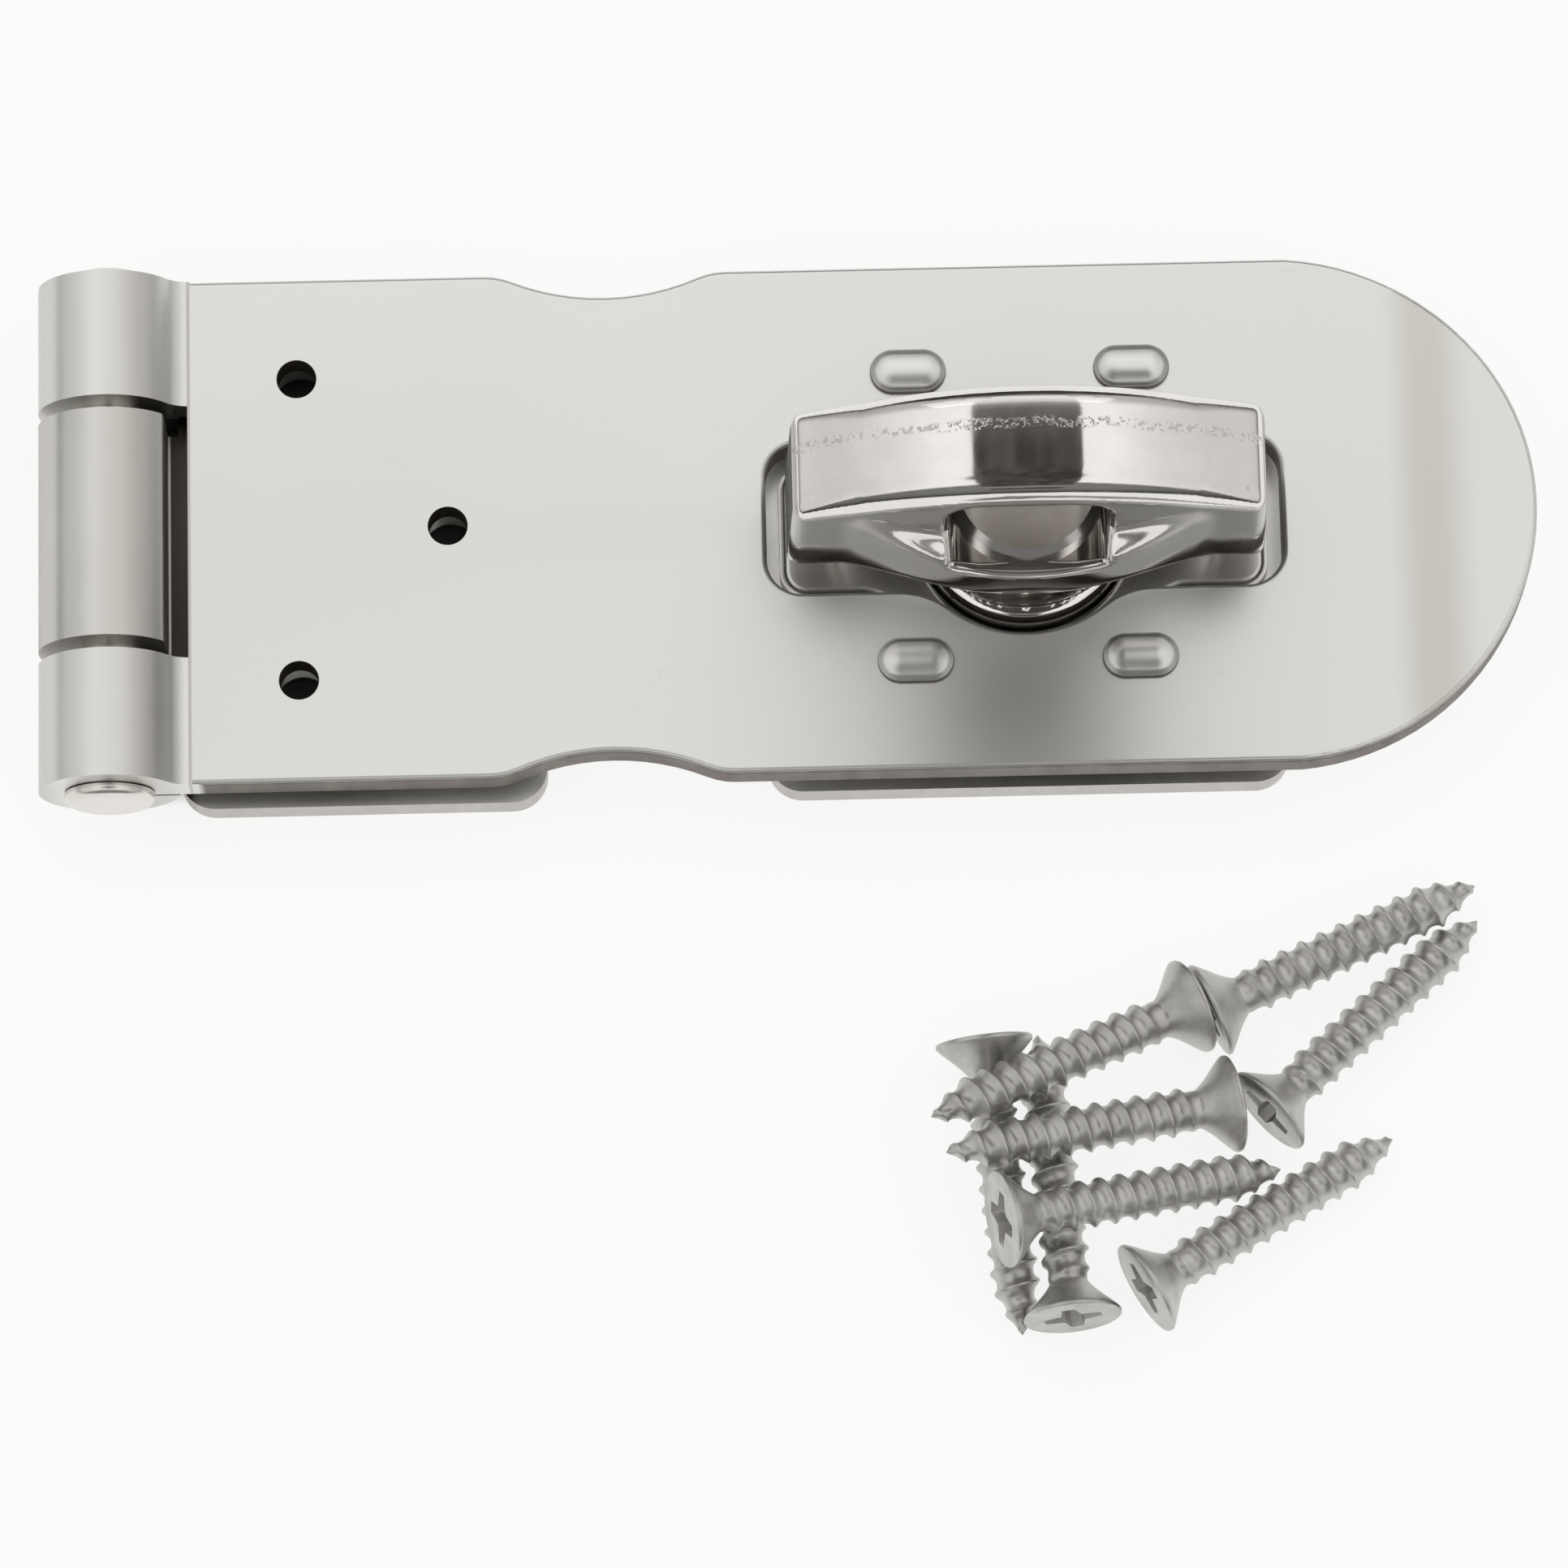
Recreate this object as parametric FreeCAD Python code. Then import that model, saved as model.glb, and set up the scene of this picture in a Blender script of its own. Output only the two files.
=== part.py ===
"""Hasp with a turning staple, in stainless steel, for a padlocked door, gate or cabinet.

Frame: the hinge axis runs along Y at x = 0, the hasp reaches out along +X, and z = 0 is the face that
both base plates are screwed to. All sizes are in millimetres.
The staple stands in line with the leaf's slot, so the leaf is free to swing open.
"""
import FreeCAD, Part
import math
import os

V = FreeCAD.Vector
Y_AXIS = V(0, 1, 0)
Z_AXIS = V(0, 0, 1)

# --- driving dimensions ------------------------------------------------------------------------------
# cutting shapes reach this far, well past every piece, and edges are told apart to this closeness
far = 40.0
close = 1e-3

# sheet and levels above the mounting face
sheet = 3.0
leaf_gap = 2.1
leaf_bottom = sheet + leaf_gap
leaf_top = leaf_bottom + sheet
edge_round = 0.45

# hinge
barrel_radius = 6.0
barrel_axis_z = barrel_radius
pin_radius = 3.0
fixed_bore_radius = 3.01
running_bore_radius = 3.05
knuckle_half = 10.0
knuckle_gap = 1.1
pin_head_radius = 3.8
pin_head_height = 1.0
pin_head_round = 0.8
pin_overhang = 0.1
roll_seam = 0.35
leaf_seam_start_x = 1.0
base_seam_start_x = 0.5
fixed_knuckle_flank_x = 4.85
fixed_knuckle_flank_round = 1.2

# leaf
leaf_half_width = 22.2
leaf_tip_x = 121.0
leaf_root_x = 4.0
leaf_arc_start_x = 100.5
knuckle_notch_x = 6.8
knuckle_web_radius = 2.35
web_inner_x = 3.6
web_inner_z = 6.6
waist_start_x = 33.4
waist_end_x = 51.4
waist_depth = 2.1
waist_corner_radius = 6.0
tip_bend_x = 109.0
tip_bend_radius = 60.0
leaf_hole_radius = 1.7

# slot in the leaf
slot_half_length = 21.85
slot_half_width = 6.6
slot_corner_radius = 3.0
slot_eye_radius = 10.4
slot_blend_radius = 6.5

# raised stops around the slot
stop_length = 6.45
stop_width = 3.9
stop_height = 0.75
stop_x = 9.5
stop_y = 12.75
stop_round = 0.6
stop_recess_inset = 0.5

# hinge base
hinge_base_start_x = 5.7
hinge_base_end_x = 36.8
hinge_base_half_width = 23.0
plate_corner_radius = 3.0
pair_hole_x = 16.1
pair_hole_y = 13.3
single_hole_x = 28.8

# countersunk screw holes
screw_hole_radius = 2.3
countersink_radius = 4.4

# staple base
staple_x = 77.6
staple_base_half_length = 22.15
staple_base_half_width = 22.6
island_half_length = 20.75
island_half_width = 6.0
island_eye_radius = 13.5
island_top = 4.8
island_wall = 1.0
island_corner_radius = 2.4
island_hollow_corner_radius = 1.6
island_blend_radius = 3.0
island_round = 0.8
eye_lip_round = 0.5
staple_hole_offset = 15.5

# turning staple
foot_radius = 9.3
foot_clearance = 0.05
foot_bottom = 1.65
foot_shoulder_z = 6.9
ear_bottom = 9.1
ear_reach_bottom = 20.2
ear_reach_top = 19.7
ear_top = 23.4
arch_top = 30.0
arch_half_width = 4.95
arch_edge_round = 1.9
ear_corner_round = 1.4
lens_half_width = 7.6
lens_half_length = 12.6
lens_end_half_width = 4.1
lens_merge_z = 22.0
lens_merge_half_width = 4.75
lens_merge_end_half_width = 3.9
neck_top_z = 10.1
neck_top_radius = 7.2
window_half = 6.55
window_floor = 15.1
window_top = 26.0
window_corner_radius = 3.0

# rivet and washer that hold the staple in its base
rivet_head_radius = 6.4
rivet_head_height = 2.0
rivet_head_chamfer = 0.6
rivet_shank_radius = 4.0
rivet_flare_radius = 5.3
rivet_flare_height = 0.8
rivet_bottom = 0.45
washer_radius = 11.6
washer_thickness = 1.2
rivet_fit = 0.02

# wood screws
screw_length = 25.0
screw_head_radius = 4.1
screw_rim = 0.35
screw_root_radius = 1.6
screw_major_radius = 2.05
screw_pitch = 1.8
screw_tip_length = 3.8
first_ridge = 0.2
last_ridge_from_tip = 0.9
half_ridge = 0.3
recess_radius = 2.4
recess_depth = 2.2
recess_blade = 1.0
recess_end_radius = 0.25

# where the eight loose screws lie: head centre, then heading and rise of the point, in degrees
screw_places = (
    (73.0, -44.8, 4.12, -84.0, -5.5),
    (90.65, -42.2, 4.1, 204.5, 11.0),
    (91.9, -42.7, 4.1, 24.2, 0.5),
    (93.7, -50.7, 4.1, 190.7, 9.6),
    (96.5, -51.5, 4.12, 42.0, -5.5),
    (73.9, -61.22, 9.0, 12.1, -14.5),
    (79.75, -68.7, 4.12, 95.0, -5.5),
    (85.75, -66.35, 4.12, 31.0, -5.5),
)


# --- small helpers -----------------------------------------------------------------------------------
def line(start, end):
    return Part.LineSegment(start, end).toShape()


def arc(start, middle, end):
    return Part.Arc(start, middle, end).toShape()


def face_of(edges):
    return Part.Face(Part.Wire(edges))


def upright_edges(shape):
    """The straight edges that run along Z."""
    return [edge for edge in shape.Edges
            if isinstance(edge.Curve, Part.Line) and abs(edge.tangentAt(edge.FirstParameter).z) > 0.999]


def box_between(low, high):
    return Part.makeBox(high[0] - low[0], high[1] - low[1], high[2] - low[2], V(*low))


def rounded_plate(low, high, radius):
    plate = box_between(low, high)
    return plate.makeFillet(radius, upright_edges(plate))


def disc(radius, bottom, top, x=0.0, y=0.0):
    return Part.makeCylinder(radius, top - bottom, V(x, y, bottom))


def rod_along_y(radius, start, end, z):
    return Part.makeCylinder(radius, end - start, V(0, start, z), Y_AXIS)


def both_sides(shape):
    """The shape and its mirror image across the XZ plane."""
    return [shape, shape.mirror(V(0, 0, 0), Y_AXIS)]


def countersunk_hole(x, y):
    """A screw hole through a base plate, with a 90 degree countersink from above."""
    depth = countersink_radius - screw_hole_radius
    shank = disc(screw_hole_radius, -far, far, x, y)
    sink = Part.makeCone(screw_hole_radius, countersink_radius, depth, V(x, y, sheet - depth))
    lid = disc(countersink_radius, sheet, far, x, y)
    return shank.fuse([sink, lid])


def stadium(length, width, bottom, top, x=0.0, y=0.0):
    """A prism with half-round ends, long along X."""
    half = 0.5 * length
    side = 0.5 * width
    body = box_between((x - half, y - side, bottom), (x + half, y + side, top))
    return body.makeFillet(side - close, upright_edges(body))


def keyhole_prism(half_length, half_width, eye_radius, corner_radius, blend_radius, bottom, top):
    """A long opening or boss with a round eye in its middle, centred on the staple's axis."""
    arms = rounded_plate((staple_x - half_length, -half_width, bottom),
                         (staple_x + half_length, half_width, top), corner_radius)
    whole = arms.fuse(disc(eye_radius, bottom, top, staple_x)).removeSplitter()
    inner = [edge for edge in upright_edges(whole)
             if abs(math.hypot(edge.CenterOfMass.x - staple_x, edge.CenterOfMass.y) - eye_radius) < close]
    return whole.makeFillet(blend_radius, inner)


# --- hasp leaf ---------------------------------------------------------------------------------------
def leaf_plan():
    """The leaf's outline as seen from above, standing through the whole height."""
    side = leaf_half_width
    waist_middle_x = 0.5 * (waist_start_x + waist_end_x)
    corners = {}
    for sign in (-1, 1):
        corners[sign] = [V(leaf_root_x, sign * side, 0), V(waist_start_x, sign * side, 0),
                         V(waist_end_x, sign * side, 0), V(leaf_arc_start_x, sign * side, 0)]
    edges = []
    for sign in (-1, 1):
        root, waist_a, waist_b, shoulder = corners[sign]
        waist_middle = V(waist_middle_x, sign * (side - waist_depth), 0)
        edges += [line(root, waist_a), arc(waist_a, waist_middle, waist_b), line(waist_b, shoulder)]
    edges += [arc(corners[-1][3], V(leaf_tip_x, 0, 0), corners[1][3]), line(corners[1][0], corners[-1][0])]
    wire = Part.Wire(Part.__sortEdges__(edges))
    prism = Part.Face(wire).extrude(V(0, 0, far))
    waist_corners = [edge for edge in upright_edges(prism)
                     if min(abs(edge.CenterOfMass.x - x) for x in (waist_start_x, waist_end_x)) < close]
    return prism.makeFillet(waist_corner_radius, waist_corners)


def leaf_side():
    """The leaf seen from the side: flat sheet whose last stretch bends gently upwards."""
    past_tip = 0.5 * far
    centre_z = leaf_top + tip_bend_radius
    angle_end = math.asin(past_tip / tip_bend_radius)

    def bend_point(radius, angle):
        return V(tip_bend_x + radius * math.sin(angle), 0, centre_z - radius * math.cos(angle))

    lower = tip_bend_radius + sheet
    upper = tip_bend_radius
    edges = [
        line(V(leaf_root_x, 0, leaf_bottom), bend_point(lower, 0)),
        arc(bend_point(lower, 0), bend_point(lower, angle_end / 2), bend_point(lower, angle_end)),
        line(bend_point(lower, angle_end), bend_point(upper, angle_end)),
        arc(bend_point(upper, angle_end), bend_point(upper, angle_end / 2), bend_point(upper, 0)),
        line(bend_point(upper, 0), V(leaf_root_x, 0, leaf_top)),
        line(V(leaf_root_x, 0, leaf_top), V(leaf_root_x, 0, leaf_bottom)),
    ]
    face = face_of(edges)
    face.translate(V(0, -far, 0))
    return face.extrude(V(0, 2 * far, 0))


def knuckle_web():
    """The hollow curve that carries the flat leaf up onto the barrel."""
    reach = barrel_radius + knuckle_web_radius
    rise = leaf_top + knuckle_web_radius - barrel_axis_z
    centre_x = math.sqrt(reach ** 2 - rise ** 2)
    centre = V(centre_x, 0, leaf_top + knuckle_web_radius)
    towards_barrel = V(-centre_x, 0, -rise).normalize()
    on_barrel = centre + towards_barrel * knuckle_web_radius
    on_leaf = V(centre_x, 0, leaf_top)
    halfway = (towards_barrel + V(0, 0, -1)).normalize()
    inside = V(web_inner_x, 0, web_inner_z)
    under_leaf = V(centre_x, 0, web_inner_z)
    edges = [
        arc(on_barrel, centre + halfway * knuckle_web_radius, on_leaf),
        line(on_leaf, under_leaf),
        line(under_leaf, inside),
        line(inside, on_barrel),
    ]
    face = face_of(edges)
    face.translate(V(0, -leaf_half_width, 0))
    return face.extrude(V(0, 2 * leaf_half_width, 0))


def raised_stop(x, y):
    stop = stadium(stop_length, stop_width, leaf_top - 0.5 * sheet, leaf_top + stop_height, x, y)
    crown = [edge for edge in stop.Edges
             if edge.BoundBox.ZMin > leaf_top + stop_height - close]
    return stop.makeFillet(stop_round, crown)


def leaf_top_edges(leaf):
    """The edges around the leaf's upper face and its barrel ends, where the die has rounded them."""
    found = []
    for edge in leaf.Edges:
        box = edge.BoundBox
        on_flat = box.ZMin > leaf_top - close and box.ZMax < leaf_top + close
        on_bend = box.XMin > tip_bend_x - close and box.ZMin > leaf_top - close
        rim = box.YLength > close or abs(abs(box.YMin) - leaf_half_width) < close
        across = box.XLength < close
        if (on_flat or on_bend) and rim and not across:
            found.append(edge)
    return found


def hasp_leaf():
    slab = leaf_plan().common(leaf_side())
    slot = keyhole_prism(slot_half_length, slot_half_width, slot_eye_radius, slot_corner_radius,
                         slot_blend_radius, 0.0, far)
    slab = slab.cut(slot)
    slab = slab.makeFillet(edge_round, leaf_top_edges(slab))
    barrel = rod_along_y(barrel_radius, -leaf_half_width, leaf_half_width, barrel_axis_z)
    leaf = slab.fuse([barrel, knuckle_web()])
    stops = [raised_stop(staple_x + x, y) for x in (-stop_x, stop_x) for y in (-stop_y, stop_y)]
    leaf = leaf.fuse(stops)

    notch_half = knuckle_half + knuckle_gap
    notch = box_between((-far, -notch_half, -far), (knuckle_notch_x, notch_half, far))
    bore = rod_along_y(running_bore_radius, -far, far, barrel_axis_z)
    seam = box_between((leaf_seam_start_x, -far, leaf_bottom - roll_seam),
                       (barrel_radius + sheet, far, leaf_bottom))
    holes = [disc(leaf_hole_radius, 0, far, pair_hole_x, y) for y in (-pair_hole_y, pair_hole_y)]
    holes.append(disc(leaf_hole_radius, 0, far, single_hole_x))
    recess_length = stop_length - 2 * stop_recess_inset
    recess_width = stop_width - 2 * stop_recess_inset
    recesses = [stadium(recess_length, recess_width, 0, leaf_bottom + stop_height, staple_x + x, y)
                for x in (-stop_x, stop_x) for y in (-stop_y, stop_y)]
    return leaf.cut([notch, bore, seam] + holes + recesses).removeSplitter()


# --- hinge base and pin ------------------------------------------------------------------------------
def fixed_knuckle():
    """The middle knuckle before boring: the free end of its roll is tucked in on the leaf's side."""
    barrel = rod_along_y(barrel_radius, -knuckle_half, knuckle_half, barrel_axis_z)
    barrel = barrel.cut(box_between((fixed_knuckle_flank_x, -far, sheet), (far, far, far)))
    shoulder = [edge for edge in barrel.Edges
                if edge.BoundBox.XMin > fixed_knuckle_flank_x - close and edge.BoundBox.ZMin > barrel_radius]
    return barrel.makeFillet(fixed_knuckle_flank_round, shoulder)


def hinge_base():
    plate = rounded_plate((hinge_base_start_x, -hinge_base_half_width, 0),
                          (hinge_base_end_x, hinge_base_half_width, sheet), plate_corner_radius)
    tongue = box_between((0, -knuckle_half, 0),
                         (hinge_base_start_x + plate_corner_radius, knuckle_half, sheet))
    bore = rod_along_y(fixed_bore_radius, -far, far, barrel_axis_z)
    seam = box_between((base_seam_start_x, -far, sheet),
                       (barrel_radius + sheet, far, sheet + roll_seam))
    holes = [countersunk_hole(pair_hole_x, y) for y in (-pair_hole_y, pair_hole_y)]
    holes.append(countersunk_hole(single_hole_x, 0.0))
    return plate.fuse([tongue, fixed_knuckle()]).cut([bore, seam] + holes).removeSplitter()


def hinge_pin():
    """The pin, with a low domed head closed over each end of the barrel."""
    start = leaf_half_width + pin_overhang
    shank = rod_along_y(pin_radius, -start, start, barrel_axis_z)
    head = Part.makeCylinder(pin_head_radius, pin_head_height, V(0, start, barrel_axis_z), Y_AXIS)
    outer = [edge for edge in head.Edges if edge.BoundBox.YMin > start + pin_head_height - close]
    head = head.makeFillet(pin_head_round, outer)
    return shank.fuse(both_sides(head)).removeSplitter()


# --- staple base -------------------------------------------------------------------------------------
def staple_base():
    plate = rounded_plate((staple_x - staple_base_half_length, -staple_base_half_width, 0),
                          (staple_x + staple_base_half_length, staple_base_half_width, sheet),
                          plate_corner_radius)
    island = keyhole_prism(island_half_length, island_half_width, island_eye_radius, island_corner_radius,
                           island_blend_radius, 0.5 * sheet, island_top)
    rim = [edge for edge in island.Edges if edge.BoundBox.ZMin > island_top - close]
    island = island.makeFillet(island_round, rim)
    hollow = keyhole_prism(island_half_length - island_wall, island_half_width - island_wall,
                           island_eye_radius - island_wall, island_hollow_corner_radius,
                           island_blend_radius, -far, island_top - sheet)
    eye_radius = foot_radius + foot_clearance
    eye = disc(eye_radius, -far, far, staple_x)
    offsets = (-staple_hole_offset, staple_hole_offset)
    holes = [countersunk_hole(staple_x + x, y) for x in offsets for y in offsets]
    base = plate.fuse(island).cut([hollow, eye] + holes)
    lip = [edge for edge in base.Edges
           if edge.BoundBox.ZMin > island_top - close and edge.BoundBox.XLength < 2 * eye_radius + close]
    return base.makeFillet(eye_lip_round, lip)


# --- turning staple ----------------------------------------------------------------------------------
def arch_body():
    """The padlock arch with its two ears, long along X."""
    ends = [V(-ear_reach_bottom, 0, ear_bottom), V(ear_reach_bottom, 0, ear_bottom),
            V(ear_reach_top, 0, ear_top), V(-ear_reach_top, 0, ear_top)]
    edges = [
        line(ends[0], ends[1]),
        line(ends[1], ends[2]),
        arc(ends[2], V(0, 0, arch_top), ends[3]),
        line(ends[3], ends[0]),
    ]
    face = face_of(edges)
    face.translate(V(0, -arch_half_width, 0))
    solid = face.extrude(V(0, 2 * arch_half_width, 0))
    tips = [edge for edge in solid.Edges
            if edge.BoundBox.YLength > arch_half_width and edge.BoundBox.ZMin > ear_bottom + close]
    solid = solid.makeFillet(ear_corner_round, tips)
    long_edges = [edge for edge in solid.Edges
                  if edge.BoundBox.YLength < close and edge.BoundBox.ZMax > ear_bottom + close]
    return solid.makeFillet(arch_edge_round, long_edges)


def lens_section(z, half_width, end_half_width):
    points = {}
    for sign in (-1, 1):
        points[sign] = [V(-lens_half_length, sign * end_half_width, z), V(0, sign * half_width, z),
                        V(lens_half_length, sign * end_half_width, z)]
    return Part.Wire([
        arc(*points[-1]),
        line(points[-1][2], points[1][2]),
        arc(points[1][2], points[1][1], points[1][0]),
        line(points[1][0], points[-1][0]),
    ])


def turn_staple():
    arch = arch_body()
    lens = Part.makeLoft([
        lens_section(ear_bottom, lens_half_width, lens_end_half_width),
        lens_section(window_floor, lens_half_width, lens_end_half_width),
    ], True, True)
    flare = Part.makeLoft([
        lens_section(window_floor, lens_half_width, lens_end_half_width),
        lens_section(lens_merge_z, lens_merge_half_width, lens_merge_end_half_width),
    ], True, True)
    foot = disc(foot_radius, foot_bottom, foot_shoulder_z)
    neck = Part.makeCone(foot_radius, neck_top_radius, neck_top_z - foot_shoulder_z,
                         V(0, 0, foot_shoulder_z))
    window = box_between((-window_half, -far, window_floor), (window_half, far, window_top))
    upper = [edge for edge in window.Edges
             if edge.BoundBox.YLength > far and edge.BoundBox.ZMin > window_top - close]
    window = window.makeFillet(window_corner_radius, upper)
    rivet_hole = disc(rivet_shank_radius + rivet_fit, -far, window_floor)
    staple = arch.fuse([lens, flare, foot, neck]).cut([window, rivet_hole]).removeSplitter()
    staple.translate(V(staple_x, 0, 0))
    return staple


def pivot_rivet():
    head = disc(rivet_head_radius, window_floor, window_floor + rivet_head_height)
    top_edge = [edge for edge in head.Edges
                if edge.BoundBox.ZMin > window_floor + rivet_head_height - close]
    head = head.makeChamfer(rivet_head_chamfer, top_edge)
    shank = disc(rivet_shank_radius, rivet_bottom, window_floor)
    flare = Part.makeCone(rivet_flare_radius, rivet_shank_radius, rivet_flare_height, V(0, 0, rivet_bottom))
    rivet = head.fuse([shank, flare]).removeSplitter()
    rivet.translate(V(staple_x, 0, 0))
    return rivet


def retaining_washer():
    bottom = foot_bottom - washer_thickness
    washer = disc(washer_radius, bottom, foot_bottom)
    hole = disc(rivet_shank_radius + rivet_fit, -far, far)
    flare = Part.makeCone(rivet_flare_radius + rivet_fit, rivet_shank_radius + rivet_fit,
                          rivet_flare_height, V(0, 0, rivet_bottom))
    washer = washer.cut([hole, flare])
    washer.translate(V(staple_x, 0, 0))
    return washer


# --- wood screws -------------------------------------------------------------------------------------
def screw_shape():
    """A countersunk wood screw, head face at the origin and point along +Z, with ridges for its thread."""
    neck_z = screw_rim + screw_head_radius - screw_root_radius
    profile = [V(0, 0, 0), V(screw_head_radius, 0, 0), V(screw_head_radius, 0, screw_rim),
               V(screw_root_radius, 0, neck_z)]
    taper_z = screw_length - screw_tip_length
    ridge = half_ridge * screw_pitch
    z = neck_z + first_ridge * screw_pitch
    while z + screw_pitch < screw_length - last_ridge_from_tip:
        shrink = min(1.0, (screw_length - z) / screw_tip_length) if z > taper_z else 1.0
        root = screw_root_radius * shrink
        profile += [V(root, 0, z), V(root + (screw_major_radius - screw_root_radius), 0, z + ridge),
                    V(root, 0, z + 2 * ridge)]
        z += screw_pitch
    profile.append(V(0, 0, screw_length))
    profile.append(V(0, 0, 0))
    screw = Part.Face(Part.makePolygon(profile)).revolve(V(0, 0, 0), Z_AXIS, 360)
    half = 0.5 * recess_blade
    blades = box_between((-far, -half, -far), (far, half, far))
    blades = blades.fuse(box_between((-half, -far, -far), (half, far, far)))
    funnel = Part.makeCone(recess_radius, recess_end_radius, recess_depth)
    return screw.cut(blades.common(funnel))


def laid_screw(place):
    """The screw turned from +Z to its heading and rise, with its head centre at the place's point."""
    x, y, z, heading, rise = place
    tilt = FreeCAD.Rotation(Y_AXIS, 90.0 - rise)
    turn = FreeCAD.Rotation(Z_AXIS, heading)
    screw = screw_shape()
    screw.Placement = FreeCAD.Placement(V(x, y, z), turn.multiply(tilt))
    return screw


# --- output ------------------------------------------------------------------------------------------
os.makedirs("parts", exist_ok=True)
nodes = {
    "hasp_leaf": hasp_leaf(),
    "hinge_base": hinge_base(),
    "hinge_pin": hinge_pin(),
    "staple_base": staple_base(),
    "turn_staple": turn_staple(),
    "pivot_rivet": pivot_rivet(),
    "retaining_washer": retaining_washer(),
}
for number, place in enumerate(screw_places, 1):
    nodes[f"mounting_screw_{number}"] = laid_screw(place)
for name, shape in nodes.items():
    box = shape.BoundBox
    print(name, len(shape.Solids), shape.isValid(), round(shape.Volume, 1),
          [round(v, 2) for v in (box.XMin, box.YMin, box.ZMin, box.XMax, box.YMax, box.ZMax)])
    shape.exportStep(f"parts/{name}.step")
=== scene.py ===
"""Looks for the hasp and turning staple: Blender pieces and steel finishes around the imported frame."""
import math

import bmesh
import bpy
import numpy as np
from mathutils import Matrix, Vector


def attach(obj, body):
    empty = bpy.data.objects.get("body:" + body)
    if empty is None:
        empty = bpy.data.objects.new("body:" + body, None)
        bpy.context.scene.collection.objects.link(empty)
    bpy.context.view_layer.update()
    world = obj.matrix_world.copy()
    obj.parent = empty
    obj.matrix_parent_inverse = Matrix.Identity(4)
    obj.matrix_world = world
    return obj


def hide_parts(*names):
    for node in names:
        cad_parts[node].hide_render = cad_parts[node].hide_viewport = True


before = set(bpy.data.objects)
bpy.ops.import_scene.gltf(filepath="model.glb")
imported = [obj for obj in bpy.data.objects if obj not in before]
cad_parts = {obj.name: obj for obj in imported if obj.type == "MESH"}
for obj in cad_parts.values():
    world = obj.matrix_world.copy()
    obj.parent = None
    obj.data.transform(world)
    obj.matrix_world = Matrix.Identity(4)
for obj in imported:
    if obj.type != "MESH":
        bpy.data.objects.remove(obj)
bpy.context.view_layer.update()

MM = 0.001

# --- sizes in millimetres, the same as the solids' ---------------------------------------------------
leaf_top = 8.1
crease_x = 6.9
stop_x = 9.5
stop_y = 12.75
stop_length = 6.45
stop_width = 3.9
staple_x = 77.6
arch_top = 30.0
ear_bottom = 9.1
ear_reach_bottom = 20.2
ear_reach_top = 19.7
ear_top = 23.4
arch_half_width = 4.95
lens_half_width = 7.6
lens_half_length = 12.6
lens_end_half_width = 4.1
window_half = 6.55
window_floor = 15.1
window_top = 26.0
foot_radius = 9.2
foot_bottom = 1.65
foot_top = 7.2

# rounding of the casting; the arch's long edges lose some of theirs towards its ends
arch_edge_round = 2.3
arch_end_round_loss = 1.1
arch_loss_start = 14.0
arch_loss_length = 5.0
arch_narrowing = 0.0009
arch_allowance = 0.05
bow_end_round = 0.7
underside_round = 0.5
lens_cut = 14.5
lens_cut_round = 0.5
body_start = 0.3
body_rise = 0.035
body_rise_limit = 190.0
body_top_round = 1.3
body_fillet = 3.0
foot_round = 1.0
foot_fillet = 0.8
window_corner = 3.0
window_floor_round = 0.25
window_rim_round = 0.8
casting_low = (-21.3, -10.9, 0.6)
casting_high = (21.3, 10.9, 31.2)
fine_step = 0.3

screw_length = 25.0
screw_head_radius = 4.1
screw_rim = 0.35
screw_root_radius = 1.6
screw_major_radius = 2.05
screw_pitch = 1.8
screw_neck = screw_rim + screw_head_radius - screw_root_radius + 0.25
screw_taper = 4.0
screw_bare_tip = 0.35
head_edge_round = 0.06
head_hollow = 0.28
# x, y and z of each head's centre, its heading and its rise in degrees
screw_places = (
    (73.0, -44.8, 4.12, -84.0, -5.5),
    (90.65, -42.2, 4.1, 204.5, 11.0),
    (91.9, -42.7, 4.1, 24.2, 0.5),
    (93.7, -50.7, 4.1, 190.7, 9.6),
    (96.5, -51.5, 4.12, 42.0, -5.5),
    (73.9, -61.22, 9.0, 12.1, -14.5),
    (79.75, -68.7, 4.12, 95.0, -5.5),
    (85.75, -66.35, 4.12, 31.0, -5.5),
)

# finishes: the parting line's place on the casting, and the share of painted shade on the rolled knuckles
parting_line_y = 1.25
knuckle_painted_shade = 0.45

# degrees above the floor
camera_elevation = 75.0


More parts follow.
